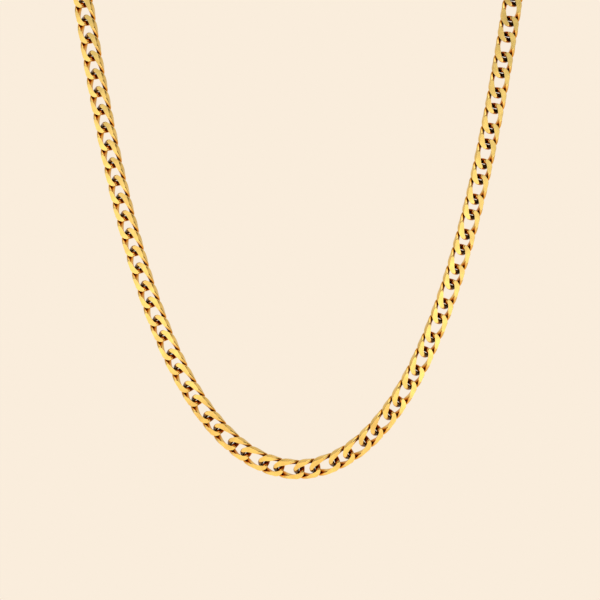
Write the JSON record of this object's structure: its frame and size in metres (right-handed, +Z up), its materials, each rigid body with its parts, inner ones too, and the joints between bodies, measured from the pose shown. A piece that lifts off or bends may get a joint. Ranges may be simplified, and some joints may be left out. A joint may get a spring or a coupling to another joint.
{
  "type": "link chain necklace",
  "caption": "Closed necklace of twisted curb links filed flat on both faces, hanging in a deep curve in front and closed at the nape by a plain barrel clasp.",
  "frame": {"origin": "middle of the clasp, where the necklace sits on the back of the neck", "axes": "+Z up, the front hangs at -Y, +X to the right seen from the front"},
  "size_m": [0.0988, 0.0959, 0.1354],
  "materials": {
    "chain": "polished gold plate",
    "clasp": "polished gold plate"
  },
  "bodies": {
    "root": {"chain_left": "chain", "chain_right": "chain", "clasp": "clasp"}
  },
  "joints": []
}
